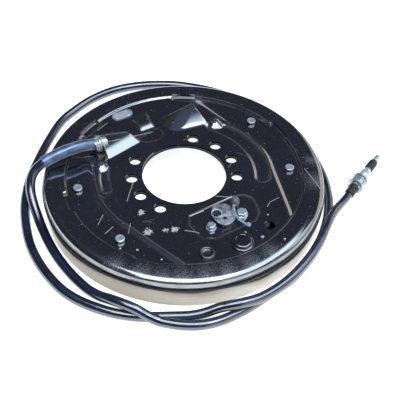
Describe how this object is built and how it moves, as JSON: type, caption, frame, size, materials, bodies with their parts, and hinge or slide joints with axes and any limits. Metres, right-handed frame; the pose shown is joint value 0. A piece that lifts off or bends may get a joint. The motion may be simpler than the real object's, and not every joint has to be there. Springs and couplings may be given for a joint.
{
  "type": "drum brake assembly",
  "caption": "Axle side of a pressed black drum brake plate with shoes, wheel cylinder, adjuster and a coiled hand brake cable",
  "frame": {"origin": "hub bore axis at the axle-side hub face", "axes": "+Z out of the back of the plate, +Y towards the anchor pin, +X to the primary shoe and the cable entry"},
  "size_m": [0.4605, 0.4235, 0.0629],
  "materials": {
    "black_enamel": "gloss black enamel, dusty and lightly scratched",
    "cast_black": "black painted casting",
    "black_rubber": "moulded black rubber",
    "jacket_plastic": "black extruded jacket",
    "zinc_plate": "bright zinc plating with dull patches",
    "bare_aluminium": "turned aluminium",
    "lining_mix": "bonded friction lining",
    "bare_steel": "plain steel, lightly oiled",
    "spring_paint": "dark blue painted spring wire",
    "tube_steel": "drawn steel tube, grey blue",
    "grey_rubber": "grey moulded plug"
  },
  "bodies": {
    "plate": {"backing_plate": "black_enamel", "hub_doubler": "black_enamel", "drum_shroud": "black_enamel", "anchor_pin": "black_enamel", "shoe_guide": "bare_steel", "anchor_clip": "zinc_plate", "wheel_cylinder": "cast_black", "cylinder_spring": "bare_steel", "primary_boot": "black_rubber", "secondary_boot": "black_rubber", "cylinder_bolts": "zinc_plate", "bleeder_screw": "zinc_plate", "bleeder_cap": "black_rubber", "hold_down_pins": "zinc_plate", "hold_down_springs": "bare_steel", "hold_down_cups": "zinc_plate", "primary_return_spring": "spring_paint", "secondary_return_spring": "spring_paint", "adjuster_nut": "bare_steel", "adjuster_socket": "bare_steel", "adjuster_spring": "spring_paint", "cable_ferrule": "zinc_plate", "ferrule_clip": "zinc_plate", "guide_tube": "tube_steel", "cable_jacket": "jacket_plastic", "end_sleeve": "black_rubber", "threaded_body": "zinc_plate", "flange_nut": "zinc_plate", "lock_nut": "zinc_plate", "end_boot": "black_rubber", "slot_plug": "grey_rubber", "plate_plug": "black_rubber"},
    "primary_shoe_body": {"primary_shoe": "black_enamel", "primary_lining": "lining_mix"},
    "secondary_shoe_body": {"secondary_shoe": "black_enamel", "secondary_lining": "lining_mix", "lever_pivot": "zinc_plate", "lever_clip": "zinc_plate"},
    "primary_piston_body": {"primary_piston": "bare_aluminium", "primary_cup": "black_rubber", "primary_push_rod": "bare_steel"},
    "secondary_piston_body": {"secondary_piston": "bare_aluminium", "secondary_cup": "black_rubber", "secondary_push_rod": "bare_steel"},
    "star_wheel": {"adjuster_screw": "bare_steel"},
    "hand_lever": {"parking_lever": "bare_steel"},
    "strut": {"parking_strut": "bare_steel", "strut_spring": "bare_steel"},
    "wire": {"inner_wire": "bare_steel"},
    "far_rod": {"end_rod": "zinc_plate"}
  },
  "joints": [
    {"name": "primary_swing", "type": "hinge", "parent": "plate", "child": "primary_shoe_body", "pos_m": [0.044, -0.126, -0.023], "axis": [0, 0, -1], "range_deg": [0, 0.8]},
    {"name": "secondary_swing", "type": "hinge", "parent": "plate", "child": "secondary_shoe_body", "pos_m": [-0.044, -0.126, -0.023], "axis": [0, 0, 1], "range_deg": [0, 0.8]},
    {"name": "primary_piston_slide", "type": "slide", "parent": "plate", "child": "primary_piston_body", "axis": [1, 0, 0], "range_m": [0, 0.0032]},
    {"name": "secondary_piston_slide", "type": "slide", "parent": "plate", "child": "secondary_piston_body", "axis": [-1, 0, 0], "range_m": [0, 0.0032]},
    {"name": "star_wheel_turn", "type": "hinge", "parent": "plate", "child": "star_wheel", "pos_m": [0.014, -0.126, -0.023], "axis": [1, 0, 0], "range_deg": [-180, 180]},
    {"name": "lever_swing", "type": "hinge", "parent": "secondary_shoe_body", "child": "hand_lever", "pos_m": [-0.074, 0.1, -0.018], "axis": [0, 0, 1], "range_deg": [0, 6]},
    {"name": "strut_slide", "type": "slide", "parent": "plate", "child": "strut", "axis": [1, 0, 0], "range_m": [0, 0.0042]},
    {"name": "wire_slide", "type": "slide", "parent": "plate", "child": "wire", "axis": [0.9874, -0.0209, 0.1571], "range_m": [0, 0.0192]},
    {"name": "far_rod_slide", "type": "slide", "parent": "plate", "child": "far_rod", "axis": [-0.9063, -0.4226, 0], "range_m": [0, 0.0192]}
  ],
  "couplings": [
    {"joint": "primary_piston_slide", "follows": "primary_swing", "m_per_rad": 0.218},
    {"joint": "secondary_piston_slide", "follows": "primary_swing", "m_per_rad": 0.218},
    {"joint": "secondary_swing", "follows": "primary_swing", "ratio": 1},
    {"joint": "strut_slide", "follows": "lever_swing", "m_per_rad": 0.0355},
    {"joint": "wire_slide", "follows": "lever_swing", "m_per_rad": 0.181},
    {"joint": "far_rod_slide", "follows": "lever_swing", "m_per_rad": 0.181}
  ]
}
